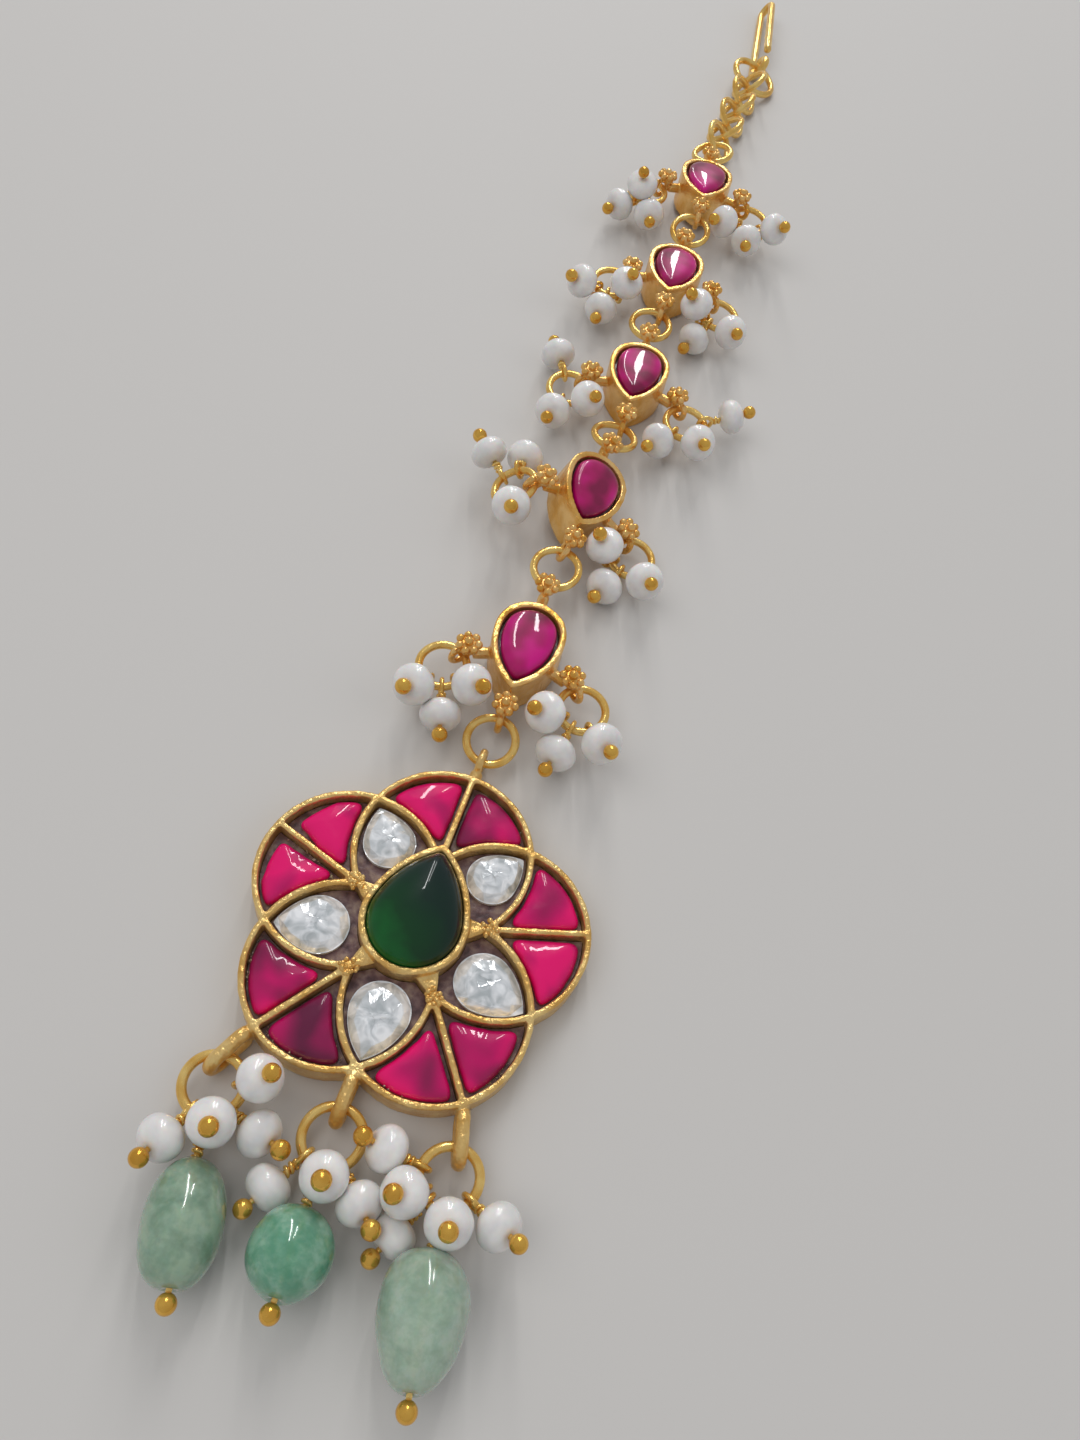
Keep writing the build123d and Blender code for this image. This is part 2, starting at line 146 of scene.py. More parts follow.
def solids(node):
    """Each solid of a node, as its own points and triangles."""
    points, faces = welded(node)
    label = np.arange(len(points))
    while True:
        lowest = label.copy()
        np.minimum.at(lowest, faces.ravel(), np.repeat(label[faces].min(axis=1), 3))
        lowest = lowest[lowest]
        if (lowest == label).all():
            break
        label = lowest
    found = []
    for value in np.unique(label[faces[:, 0]]):
        used, index = np.unique(faces[label[faces[:, 0]] == value], return_inverse=True)
        found.append((points[used], index.reshape(-1, 3)))
    return found


def main_axes(points, faces):
    """A solid's middle and its three main axes, the longest first."""
    corners = points[faces]
    across = np.cross(corners[:, 1] - corners[:, 0], corners[:, 2] - corners[:, 0])
    area = np.linalg.norm(across, axis=1)[:, None]
    centres = corners.mean(axis=1)
    middle = (centres * area).sum(axis=0) / area.sum()
    spread = centres - middle
    _, vectors = np.linalg.eigh((spread * area).T @ spread)
    return middle, vectors.T[::-1]


def flat_top(points, faces):
    """The upward normal and the points of a solid's largest flat face that looks up."""
    corners = points[faces]
    across = np.cross(corners[:, 1] - corners[:, 0], corners[:, 2] - corners[:, 0])
    area = np.linalg.norm(across, axis=1)
    normals = across / np.maximum(area, 1e-15)[:, None]
    best, best_area, chosen = None, 0, None
    for seed in np.argsort(-area)[:40]:
        if normals[seed][2] < 0.7:
            continue
        level = np.abs((corners - corners[seed][0]) @ normals[seed]).max(axis=1) < 0.01 * MM
        if area[level].sum() > best_area:
            best, best_area, chosen = normals[seed], area[level].sum(), level
    return best, points[np.unique(faces[chosen])]


def sides_of(axis):
    """Two unit vectors across an axis."""
    axis = np.asarray(axis, float)
    helper = np.array((1.0, 0, 0)) if abs(axis[0]) < 0.8 else np.array((0, 1.0, 0))
    one = np.cross(axis, helper)
    one /= np.linalg.norm(one)
    return one, np.cross(axis, one)


def bearing(heading):
    """A level unit vector at a heading."""
    turn = math.radians(heading)
    return np.array((math.sin(turn), math.cos(turn), 0.0))


def heading_of(vector):
    """The heading of a vector, from 0 to 360."""
    return math.degrees(math.atan2(vector[0], vector[1])) % 360


def apart(one, other):
    """How far apart two headings are."""
    return abs((one - other + 180) % 360 - 180)


# Making meshes

class Form:
    """The points and faces gathered for one piece, with a tone from 0 to 1 at each point; on the rubies
    and the cabochon the tone is painted light.
    """

    def __init__(self):
        self.points = []
        self.faces = []
        self.tones = []

    def add(self, points, faces, tone=0.5):
        """Gather more points and faces, with one tone or a tone for each point."""
        first = len(self.points)
        self.points += [tuple(point) for point in points]
        self.faces += [tuple(first + corner for corner in face) for face in faces]
        self.tones += [tone] * len(points) if np.isscalar(tone) else list(tone)


def make(name, form, finish, slot, *nodes, flat=False):
    """Turn a form into a piece that rides on the body and stands for some nodes."""
    mesh = bpy.data.meshes.new(name)
    mesh.from_pydata(form.points, [], form.faces)
    work = bmesh.new()
    work.from_mesh(mesh)
    bmesh.ops.recalc_face_normals(work, faces=work.faces)
    work.to_mesh(mesh)
    work.free()
    if not flat:
        mesh.shade_smooth()
    tone = mesh.attributes.new("tone", "FLOAT", "POINT")
    tone.data.foreach_set("value", np.array(form.tones, np.float32))
    mesh.materials.append(finish)
    return mount(name, mesh, slot, *nodes)


def mount(name, mesh, slot, *nodes):
    """Put a mesh in the scene as a piece on the body, inside the CAD's box."""
    places = np.empty(3 * len(mesh.vertices))
    mesh.vertices.foreach_get("co", places)
    mesh.vertices.foreach_set("co", np.clip(places.reshape(-1, 3), *cad_box).ravel())
    mesh.update()
    piece = bpy.data.objects.new(name, mesh)
    bpy.context.scene.collection.objects.link(piece)
    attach(piece, BODY)
    if nodes:
        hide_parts(*nodes)
    return piece


def lattice(rows, columns, closed=False):
    """Quads between rows of points, each row a ring of so many columns."""
    faces = []
    for row in range(rows if closed else rows - 1):
        here = row * columns
        there = (row + 1) % rows * columns
        for column in range(columns):
            after = (column + 1) % columns
            faces.append((here + column, here + after, there + after, there + column))
    if not closed:
        faces.append(tuple(range(columns)))
        faces.append(tuple(range((rows - 1) * columns, rows * columns)))
    return faces


def wire(path, radii, side, sides=14, closed=False):
    """A round wire along a path, with a radius at each point. side starts its cross-section."""
    path = np.asarray(path)
    if closed:
        ahead = np.roll(path, -1, axis=0) - np.roll(path, 1, axis=0)
    else:
        ahead = np.gradient(path, axis=0)
    ahead /= np.linalg.norm(ahead, axis=1)[:, None]
    turns = np.linspace(0, 2 * math.pi, sides, endpoint=False)
    points = []
    side = np.asarray(side, float)
    for place, tangent, radius in zip(path, ahead, radii):
        side = side - tangent * side.dot(tangent)
        side /= np.linalg.norm(side)
        up = np.cross(tangent, side)
        points += [place + radius * (math.cos(t) * side + math.sin(t) * up) for t in turns]
    return points, lattice(len(path), sides, closed)


def round_ended(path, radius):
    """A path and radii that close a wire with round ends."""
    path = np.asarray(path)
    start = path[0] - path[1]
    start /= np.linalg.norm(start)
    end = path[-1] - path[-2]
    end /= np.linalg.norm(end)
    steps = (0.98, 0.85, 0.6, 0.3)
    head = [path[0] + start * radius * step for step in steps]
    tail = [path[-1] + end * radius * step for step in reversed(steps)]
    caps = [radius * math.sqrt(1 - step**2) for step in steps]
    return head + list(path) + tail, caps + [radius] * len(path) + caps[::-1]


def turned(profile, middle, axis, columns, wobble=0.0):
    """A form turned round an axis from (radius, height) pairs, a little uneven if it wobbles."""
    one, two = sides_of(axis)
    axis = np.asarray(axis)
    shift = Vector((rng.uniform(-9, 9), rng.uniform(-9, 9), rng.uniform(-9, 9)))
    size = max(radius for radius, _ in profile)
    points = []
    for radius, height in profile:
        for column in range(columns):
            turn = 2 * math.pi * column / columns
            away = math.cos(turn) * one + math.sin(turn) * two
            offset = radius * away + height * axis
            if wobble:
                uneven = noise.noise(Vector(offset / size) * 1.1 + shift)
                offset = offset * (1 + wobble * uneven)
            points.append(middle + offset)
    return points, lattice(len(profile), columns)


def ball(middle, radius, columns=20, rows=11):
    """A ball."""
    ends = 0.06
    angles = np.linspace(-math.pi / 2 + ends, math.pi / 2 - ends, rows)
    profile = [(radius * math.cos(a), radius * math.sin(a)) for a in angles]
    return turned(profile, middle, (0, 0, 1), columns)


def fine_ring(form, points, faces, columns=84, sides=16):
    """A fine, slightly uneven wire ring in the place of a plain one."""
    middle, (one, two, normal) = main_axes(points, faces)
    away = points - middle
    height = away @ normal
    reach = np.linalg.norm(away - np.outer(height, normal), axis=1)
    radius = (reach.max() + reach.min()) / 2
    thickness = (reach.max() - reach.min()) / 2
    phase = rng.uniform(0, 6.28)
    path = []
    for turn in np.linspace(0, 2 * math.pi, columns, endpoint=False):
        uneven = 1 + 0.012 * math.cos(2 * turn + phase) + 0.006 * math.cos(3 * turn - phase)
        path.append(middle + uneven * radius * (math.cos(turn) * one + math.sin(turn) * two))
    form.add(*wire(path, [thickness] * columns, normal, sides, closed=True))


def reach_round(points, faces, middle, one, two, count):
    """How far a solid's outline reaches from its middle at each of so many turns."""
    flat = np.stack(((points - middle) @ one, (points - middle) @ two), axis=1)
    starts = flat[faces].reshape(-1, 2)
    ends = flat[np.roll(faces, -1, axis=1)].reshape(-1, 2)
    along = ends - starts
    reach = []
    for turn in np.linspace(0, 2 * math.pi, count, endpoint=False):
        ray = np.array((math.cos(turn), math.sin(turn)))
        cross = ray[0] * along[:, 1] - ray[1] * along[:, 0]
        cross = np.where(np.abs(cross) < 1e-14, np.inf, cross)
        share = -(ray[0] * starts[:, 1] - ray[1] * starts[:, 0]) / cross
        distance = (starts[:, 0] * along[:, 1] - starts[:, 1] * along[:, 0]) / cross
        hit = distance[(share > -0.001) & (share < 1.001) & (distance > 0)]
        reach.append(hit.max())
    return np.array(reach)


def blurred(values, width):
    """Values round a ring, evened out over so many neighbours each way."""
    total = sum(np.roll(values, shift) for shift in range(-width, width + 1))
    return total / (2 * width + 1)


def footing(points, faces):
    """A stone's upward normal, two directions across it, and the middle of its base."""
    normal, top = flat_top(points, faces)
    one, two = sides_of(normal)
    middle = (top.min(axis=0) + top.max(axis=0)) / 2
    base = (points @ normal).min()
    return normal, one, two, middle - normal * (middle @ normal - base)


def stone(form, points, faces, profile, cut_from=None, cut=0.0, rough=0.0, tone=0.5, blur=2, grow=0.0):
    """A cut stone on a solid's outline. profile: share of its reach, height over its base."""
    normal, one, two, middle = footing(points, faces)
    reach = blurred(reach_round(points, faces, middle, one, two, OUTLINE), blur) + grow
    shift = rng.uniform(0, 50)
    tones = []
    rows = []
    for share, height in profile:
        for column in range(OUTLINE):
            turn = 2 * math.pi * column / OUTLINE
            away = math.cos(turn) * one + math.sin(turn) * two
            uneven = noise.noise(Vector((3 * away[0], 3 * away[1], shift)))
            length = reach[column] * (1 - rough * (1 + uneven))
            if cut_from is not None:
                facing = away @ bearing(cut_from)
                length *= 1 - cut * max(facing, 0) ** 0.7
            rows.append(middle + share * length * away + height * normal)
            tones.append(tone)
    form.add(rows, lattice(len(profile), OUTLINE), tones)


def softened(name, node, finish, slot, voxel, most, uneven=0.0, grain=1.0, change=None, fatten=None):
    """A solid's copy with every edge worn round, thinned to at most so many triangles."""
    points, faces = welded(node)
    if change:
        points = change(points)
    mesh = bpy.data.meshes.new(name + "_rough")
    mesh.from_pydata((points / MM).tolist(), [], faces.tolist())
    rough = bpy.data.objects.new(name + "_rough", mesh)
    bpy.context.scene.collection.objects.link(rough)
    remesh = rough.modifiers.new("remesh", "REMESH")
    remesh.mode = "VOXEL"
    remesh.voxel_size = voxel / MM
    smooth = rough.modifiers.new("smooth", "SMOOTH")
    smooth.factor = 0.5
    smooth.iterations = 2
    worn = bpy.data.meshes.new_from_object(rough.evaluated_get(bpy.context.evaluated_depsgraph_get()))
    rough.modifiers.clear()
    rough.data = worn
    triangles = sum(len(polygon.vertices) - 2 for polygon in worn.polygons)
    if triangles > most:
        thin = rough.modifiers.new("thin", "DECIMATE")
        thin.ratio = most / triangles
        worn = bpy.data.meshes.new_from_object(
            rough.evaluated_get(bpy.context.evaluated_depsgraph_get())
        )
    bpy.data.objects.remove(rough)
    worn.transform(Matrix.Scale(MM, 4))
    places = np.empty(3 * len(worn.vertices))
    normals = np.empty(3 * len(worn.vertices))
    worn.vertices.foreach_get("co", places)
    worn.vertices.foreach_get("normal", normals)
    swells = [
        uneven * noise.noise(Vector(place) / grain) + (fatten(Vector(place)) if fatten else 0)
        for place in places.reshape(-1, 3)
    ]
    worn.vertices.foreach_set("co", places + normals * np.repeat(swells, 3))
    worn.update()
    worn.shade_smooth()
    worn.materials.clear()
    worn.materials.append(finish)
    worn.name = name
    return mount(name, worn, slot, node)


# Materials

def linear(code):
    """A colour from its six-digit code."""
    values = [int(code[place:place + 2], 16) / 255 for place in (0, 2, 4)]
    return tuple(v / 12.92 if v <= 0.04045 else ((v + 0.055) / 1.055) ** 2.4 for v in values)


class Finish:
    """A material and short ways to add nodes to it."""

    def __init__(self, name, colour, **settings):
        self.material = bpy.data.materials.new(name)
        self.material.use_nodes = True
        self.tree = self.material.node_tree
        self.shader = self.tree.nodes["Principled BSDF"]
        self.shader.inputs["Base Color"].default_value = (*linear(colour), 1)
        for setting, value in settings.items():
            self.shader.inputs[setting.replace("_", " ")].default_value = value
        self.place = self.tree.nodes.new("ShaderNodeTexCoord").outputs["Object"]

    def link(self, start, end):
        """Join two sockets."""
        self.tree.links.new(start, end)

    def mottle(self, size, detail=2.0, distortion=0.0):
        """Cloudy noise from 0 to 1, whose lumps are about one size."""
        node = self.tree.nodes.new("ShaderNodeTexNoise")
        node.inputs["Scale"].default_value = 1 / size
        node.inputs["Detail"].default_value = detail
        node.inputs["Distortion"].default_value = distortion
        self.link(self.place, node.inputs["Vector"])
        return node.outputs["Fac"]

    def tone(self):
        """The tone carried by the mesh, which paints light on the rubies and the cabochon."""
        node = self.tree.nodes.new("ShaderNodeAttribute")
        node.attribute_name = "tone"
        return node.outputs["Fac"]

    def sum(self, one, other, weight):
        """One value plus another times a weight."""
        node = self.tree.nodes.new("ShaderNodeMath")
        node.operation = "MULTIPLY_ADD"
        self.link(other, node.inputs[0])
        node.inputs[1].default_value = weight
        self.link(one, node.inputs[2])
        return node.outputs[0]

    def ramp(self, value, *stops):
        """Colours along a value: place and colour code of each."""
        node = self.tree.nodes.new("ShaderNodeValToRGB")
        elements = node.color_ramp.elements
        while len(elements) < len(stops):
            elements.new(0.5)
        for element, (place, code) in zip(elements, stops):
            element.position = place
            element.color = (*linear(code), 1)
        self.link(value, node.inputs["Fac"])
        return node.outputs["Color"]

    def paint(self, colour):
        """Give the surface a colour."""
        self.link(colour, self.shader.inputs["Base Color"])

    def bump(self, height, depth, strength=1.0):
        """Relief of a depth in metres."""
        node = self.tree.nodes.new("ShaderNodeBump")
        node.inputs["Distance"].default_value = depth
        node.inputs["Strength"].default_value = strength
        self.link(height, node.inputs["Height"])
        self.link(node.outputs["Normal"], self.shader.inputs["Normal"])


def gold_finish(name, light, dark, roughness, size, depth):
    """Plated gold in two shades, with relief of a size and a depth."""
    finish = Finish(name, light, Metallic=0.75, Roughness=roughness)
    finish.paint(finish.ramp(finish.mottle(1.6 * MM, 3), (0.35, dark), (0.65, light)))
    finish.bump(finish.mottle(size, 3), depth)
    return finish.material


gold = gold_finish("gold", "fbd88f", "e6b462", 0.28, 0.35 * MM, 0.12 * MM)
# Painted shade and reflection: the links' gold is a deeper amber in its dark tone, standing in for the
# warm shade on the link sides
link_gold = gold_finish("gold_links", "fdd188", "e8ad4e", 0.26, 0.5 * MM, 0.06 * MM)
# Painted highlight: the wire gold is a little lighter than the flower's gold, standing in for brighter
# highlights on the wires
wire_gold = gold_finish("gold_wire", "ffdb86", "edb95a", 0.22, 0.6 * MM, 0.03 * MM)
ball_gold = gold_finish("gold_balls", "f2bf58", "dba03c", 0.2, 0.6 * MM, 0.015 * MM)

lac = Finish("lac", "5a3c40", Roughness=0.35, Coat_Weight=0.4, Coat_Roughness=0.15)
lac.paint(lac.ramp(lac.mottle(0.8 * MM, 3), (0.35, "452c2e"), (0.5, "664a4a"), (0.68, "8a7468")))
lac.bump(lac.mottle(0.4 * MM, 3), 0.06 * MM)

foil = Finish("foil_crumbs", "d9c9a8", Roughness=0.35, Metallic=0.7)
foil.paint(foil.ramp(foil.mottle(0.3 * MM, 2), (0.35, "a89058"), (0.6, "eadfca")))

ruby = Finish(
    "ruby_glass", "e0006a", Roughness=0.3,
    Specular_IOR_Level=0.15, Coat_Weight=0.7, Coat_Roughness=0.03
)
# Painted reflection: each ruby's brightness, carried in its tone, and the cloudy patches paint the
# light that the foil behind the glass reflects
painted_foil_light = ruby.sum(ruby.tone(), ruby.mottle(3.0 * MM, 1, distortion=0.3), 1.1)
ruby.paint(
    ruby.ramp(painted_foil_light, (0.42, "5e1238"), (0.6, "8a0e4a"), (0.78, "b8005c"), (0.95, "e00068"))
)
ruby.bump(ruby.mottle(1.8 * MM, 2), 0.10 * MM, 0.6)

link_ruby = Finish(
    "link_ruby_glass", "c0005f", Roughness=0.3,
    Specular_IOR_Level=0.15, Coat_Weight=0.8, Coat_Roughness=0.03
)
link_ruby.paint(
    link_ruby.ramp(link_ruby.mottle(2.6 * MM, 1), (0.35, "78003c"), (0.5, "a00056"), (0.68, "c4007a"))
)

cabochon = Finish(
    "green_cabochon", "0a5a34", Roughness=0.3,
    Specular_IOR_Level=0.1, Coat_Weight=0.7, Coat_Roughness=0.02
)
# Painted light: lighter green towards one side through the tone, with random cloudiness from the noise
cabochon_light_and_cloud = cabochon.sum(cabochon.tone(), cabochon.mottle(2.5 * MM, 2), 0.35)
cabochon.paint(
    cabochon.ramp(cabochon_light_and_cloud, (0.2, "03191c"), (0.45, "012318"), (0.75, "013614"), (0.95, "035a20"))
)

polki = Finish(
    "polki_glass", "e6e8e9", Roughness=0.14, Metallic=0.2, Coat_Weight=1.0, Coat_Roughness=0.03
)
polki.paint(
    polki.ramp(
        polki.mottle(1.1 * MM, 2, distortion=1.0), (0.32, "b4babc"), (0.5, "dadddf"), (0.66, "f8f9fa")
    )
)
polki.bump(polki.mottle(1.1 * MM, 1, distortion=0.8), 0.09 * MM)

pearl = Finish(
    "pearl",
    "f1eeea",
    Roughness=0.28,
    Coat_Weight=1.0,
    Coat_Roughness=0.05,
    Subsurface_Weight=0.25,
    Subsurface_Scale=0.6 * MM,
)
pearl.paint(pearl.ramp(pearl.mottle(1.2 * MM, 2), (0.3, "d8d6d4"), (0.7, "ebe9e5")))


def bead_finish(name, dark, mid, light):
    """Cloudy green quartz in three shades."""
    finish = Finish(
        name,
        mid,
        Roughness=0.16,
        Coat_Weight=1.0,
        Coat_Roughness=0.03,
        Subsurface_Weight=0.6,
        Subsurface_Scale=1.4 * MM,
        Transmission_Weight=0.25,
    )
    cloud = finish.sum(finish.mottle(1.5 * MM, 5, distortion=0.5), finish.mottle(0.35 * MM, 3), 0.35)
    finish.paint(finish.ramp(cloud, (0.5, dark), (0.66, mid), (0.82, light)))
    return finish.material


BEAD_FINISHES = (
    bead_finish("green_bead_grey", "7f9f85", "8fae95", "a2bda3"),
    bead_finish("green_bead_deep", "5fa280", "76b091", "93c2a6"),
    bead_finish("green_bead_pale", "9ab59e", "a8c0aa", "b8ccb8"),
)


# The flower

def make_flower():
    """The setting's copy, worn round, with granular knots between the polkis."""
    centres = [Vector(PETAL_OFFSET * bearing(72 * petal)) for petal in range(5)]

    def thicker(place):
        """How much thicker the bails are than the wire that they were cut from."""
        level = Vector((place.x, place.y, 0))
        beyond = min((level - centre).length for centre in centres) > PETAL_RADIUS + 0.25 * MM
        return BAIL_SWELL if beyond and place.y < 0 else 0

    softened(
        "flower_gold", "flower_setting", gold, "gold", 0.1 * MM, 150000,
        uneven=0.035 * MM, grain=0.7 * MM, fatten=thicker,
    )
    knots = Form()
    for heading in KNOT_HEADINGS:
        centre = KNOT_REACH * bearing(heading) + np.array((0, 0, FLOWER_TOP - 0.08 * MM))
        for _ in range(KNOT_GRAINS):
            turn = rng.uniform(0, 2 * math.pi)
            spread = KNOT_SPREAD * math.sqrt(rng.random())
            place = centre + spread * np.array((math.cos(turn), math.sin(turn), 0))
            size = rng.uniform(0.13, 0.22) * MM
            knots.add(*ball(place + np.array((0, 0, rng.uniform(-0.05, 0.08) * MM)), size, 10, 7))
    make("flower_knots", knots, gold, "gold")


def make_flower_stones():
    """The petals' rubies with foil crumbs beside them, the polkis and the green cabochon."""
    ruby_profile = (
        (1.0, 0.0), (1.0, 0.25 * MM), (0.985, 0.38 * MM), (0.95, 0.50 * MM), (0.89, 0.60 * MM),
        (0.78, 0.70 * MM), (0.6, 0.78 * MM), (0.4, 0.83 * MM), (0.15, 0.86 * MM), (0.01, 0.86 * MM),
    )
    crumbs = Form()
    for petal in range(1, 6):
        form = Form()
        for points, faces in solids(f"petal_rubies_{petal}"):
            middle = points.mean(axis=0)
            nearest = min(RUBIES, key=lambda row: apart(row[0], heading_of(middle)))
            # The tone given to each ruby is its painted foil reflection
            heading, painted_foil_brightness, cut_from, cut = nearest
            stone(
                form, points, faces, ruby_profile, cut_from, cut,
                rough=0.02, tone=0.42 * painted_foil_brightness, grow=RUBY_GROWTH,
            )
            for crumb_row in CRUMBS:
                if crumb_row[0] == heading:
                    scatter_crumbs(crumbs, points, faces, middle, *crumb_row[1:])
        make(f"flower_rubies_{petal}", form, ruby.material, "ruby", f"petal_rubies_{petal}")
    make("flower_foil_crumbs", crumbs, foil.material, "lac", flat=True)

    for number in range(1, 6):
        form = Form()
        (points, faces), = solids(f"polki_{number}")
        facet_stone(form, points, faces)
        make(f"flower_polki_{number}", form, polki.material, "polki", f"polki_{number}", flat=True)

    form = Form()
    (points, faces), = solids("centre_stone")
    dome = [(1.0, 0.0), (1.0, 1.3 * MM)]
    for step in np.linspace(0.06, 1.0, 22):
        lean = step * math.pi / 2
        dome.append((max(math.cos(lean) ** 0.85, 0.004), (1.3 + 1.95 * math.sin(lean)) * MM))
    stone(form, points, faces, dome, blur=1)
    # Painted light: the cabochon's tone rises towards heading 215, so that side is painted lighter
    # green
    painted_light_way = bearing(215)
    span = np.array(form.points) @ painted_light_way
    form.tones = list((span - span.min()) / (span.max() - span.min()) * 0.8)
    make("flower_cabochon", form, cabochon.material, "green_cabochon", "centre_stone")


def scatter_crumbs(form, points, faces, middle, start, end, count):
    """Foil crumbs in the lac beside a ruby, from one heading round its middle to another."""
    for _ in range(count):
        heading = start + rng.random() * ((end - start) % 360)
        away = bearing(heading)
        reach = reach_round(points, faces, middle, away, np.cross((0, 0, 1), away), 1)[0]
        place = middle + (reach + rng.uniform(0.02, 0.26) * MM) * away
        place[2] = LAC_TOP + rng.uniform(0.0, 0.5) * MM
        size = rng.uniform(0.05, 0.13) * MM
        corners = [place + size * np.array([rng.uniform(-1, 1) for _ in range(3)]) for _ in range(4)]
        form.add(corners, ((0, 1, 2), (0, 1, 3), (0, 2, 3), (1, 2, 3)))


# A polki's rows of corners: share of the outline, height in mm, turn in facets
FACET_ROWS = (
    (0.985, 0.3, 0),
    (0.74, 0.72, 0.5),
    (0.42, 0.92, 0),
    (0.12, 0.95, 0.5),
)


def facet_stone(form, points, faces):
    """A polki: an uneven table with two rows of facets down to its girdle."""
    normal, one, two, middle = footing(points, faces)
    outline = reach_round(points, faces, middle, one, two, OUTLINE)
    fine = [
        outline[place] * (math.cos(turn) * one + math.sin(turn) * two)
        for place, turn in enumerate(np.linspace(0, 2 * math.pi, OUTLINE, endpoint=False))
    ]
    rows = [middle + away for away in fine] + [middle + away + 0.3 * MM * normal for away in fine]
    form.add(rows, lattice(2, OUTLINE))
    top_rows = []
    for share, height, phase in FACET_ROWS:
        for side in range(FACETS):
            place = int(round((side + phase) * OUTLINE / FACETS)) % OUTLINE
            jitter = 1 + (rng.uniform(-0.09, 0.09) if share < 0.9 else 0)
            lift = height + (rng.uniform(-0.05, 0.05) if share < 0.9 else 0)
            top_rows.append(middle + share * jitter * fine[place] + lift * MM * normal)
    triangles = []
    for row in range(3):
        for side in range(FACETS):
            here = row * FACETS + side
            after = row * FACETS + (side + 1) % FACETS
            above, above_after = here + FACETS, after + FACETS
            if row % 2:
                triangles += [(here, after, above_after), (here, above_after, above)]
            else:
                triangles += [(here, after, above), (after, above_after, above)]
    triangles.append(tuple(range(3 * FACETS, 4 * FACETS)))
    form.add(top_rows, triangles)


# The links

def link_frame(number):
    """A link's up, and its back's height along up."""
    (points, faces), = solids(f"link_ruby_{number}")
    up, _ = flat_top(points, faces)
    return up, (welded(f"link_setting_{number}")[0] @ up).min()


def rosette_centres(number, up, back):
    """The middle of each rosette's top."""
    points, _ = welded(f"link_setting_{number}")
    left = [point for point in points if point @ up - back > ROSETTE_LIFT]
    groups = []
    while left:
        seed = left[0]
        group = [point for point in left if np.linalg.norm(point - seed) < 2.0 * MM]
        left = [point for point in left if np.linalg.norm(point - seed) >= 2.0 * MM]
        low, high = np.min(group, axis=0), np.max(group, axis=0)
        groups.append((low + high) / 2)
    return groups


def make_links():
    """Each link's worn setting, its granules and its ruby."""
    ruby_profile = (
        (1.0, 0.0), (1.0, 0.55 * MM), (0.985, 0.75 * MM), (0.95, 0.92 * MM), (0.88, 1.05 * MM),
        (0.78, 1.13 * MM), (0.66, 1.17 * MM), (0.45, 1.2 * MM), (0.2, 1.21 * MM), (0.01, 1.21 * MM),
    )
    for number in range(1, 6):
        up, back = link_frame(number)
        centres = rosette_centres(number, up, back)

        def slim(points):
            """Draw the rosettes' cores in under their granules."""
            points = points.copy()
            for centre in centres:
                away = points - centre
                height = away @ up
                level = away - np.outer(height, up)
                core = (np.linalg.norm(level, axis=1) < 1.2 * MM) & (height > -1.1 * MM)
                points[core] -= 0.32 * level[core] + np.outer(0.12 * MM + 0.1 * height[core], up)
            return points

        softened(
            f"link_gold_{number}", f"link_setting_{number}", link_gold, "gold", 0.11 * MM, 32000,
            uneven=0.03 * MM, grain=1.1 * MM, change=slim,
        )
        granules = Form()
        one, two = sides_of(up)
        for centre in centres:
            start = rng.uniform(0, 1)
            for count in range(ROSETTE_GRANULES):
                turn = 2 * math.pi * (count + start) / ROSETTE_GRANULES
                place = centre + ROSETTE_RING * (math.cos(turn) * one + math.sin(turn) * two)
                granules.add(*ball(place - 0.3 * MM * up, GRANULE * rng.uniform(0.92, 1.06)))
            granules.add(*ball(centre + 0.02 * MM * up, GRANULE * 1.1))
        make(f"link_granules_{number}", granules, link_gold, "gold")
        form = Form()
        (points, faces), = solids(f"link_ruby_{number}")
        stone(form, points, faces, ruby_profile, rough=0.01, grow=RUBY_GROWTH)
        make(f"link_stone_{number}", form, link_ruby.material, "ruby", f"link_ruby_{number}")


def make_rings():
    """The jump rings and the chain's rings."""
    pairs = [(f"joining_ring_{number}", f"ring_{number}") for number in range(1, 6)]
    pairs += [(f"link_side_rings_{number}", f"side_rings_{number}") for number in range(1, 6)]
    pairs += [(f"drop_side_ring_{number}", f"drop_ring_{number}") for number in range(1, 4)]
    pairs.append(("chain_rings", "chain"))
    for name, node in pairs:
        form = Form()
        for points, faces in solids(node):
            fine_ring(form, points, faces)
        make(name, form, wire_gold, "gold", node)


# Pins, pearls and beads

def read_pin(points, faces):
    """A pin's eye, the direction from it to its ball, the eye's own axis, and the length."""
    middle, (along, _, _) = main_axes(points, faces)
    height = (points - middle) @ along
    flatness = []
    for end in (1, -1):
        near = points[height * end > (height * end).max() - 1.3 * MM]
        level = near - near.mean(axis=0)
        level = level - np.outer(level @ along, along)
        values = np.sort(np.linalg.eigvalsh(level.T @ level))
        flatness.append(values[1] / values[2])
    if flatness[0] < flatness[1]:
        along = -along
        height = -height
    eye_points = points[height < height.min() + 1.7 * MM]
    level = eye_points - eye_points.mean(axis=0)
    _, vectors = np.linalg.eigh(level.T @ level)
    normal = vectors[:, 0]
    normal = normal - along * (normal @ along)
    normal /= np.linalg.norm(normal)
    lowest = middle + along * height.min()
    axis_points = points[height > height.max() - 1.3 * MM]
    ball_middle = (axis_points.min(axis=0) + axis_points.max(axis=0)) / 2
    start = ball_middle - along * ((ball_middle - lowest) @ along)
    return start, along, normal, height.max() - height.min()


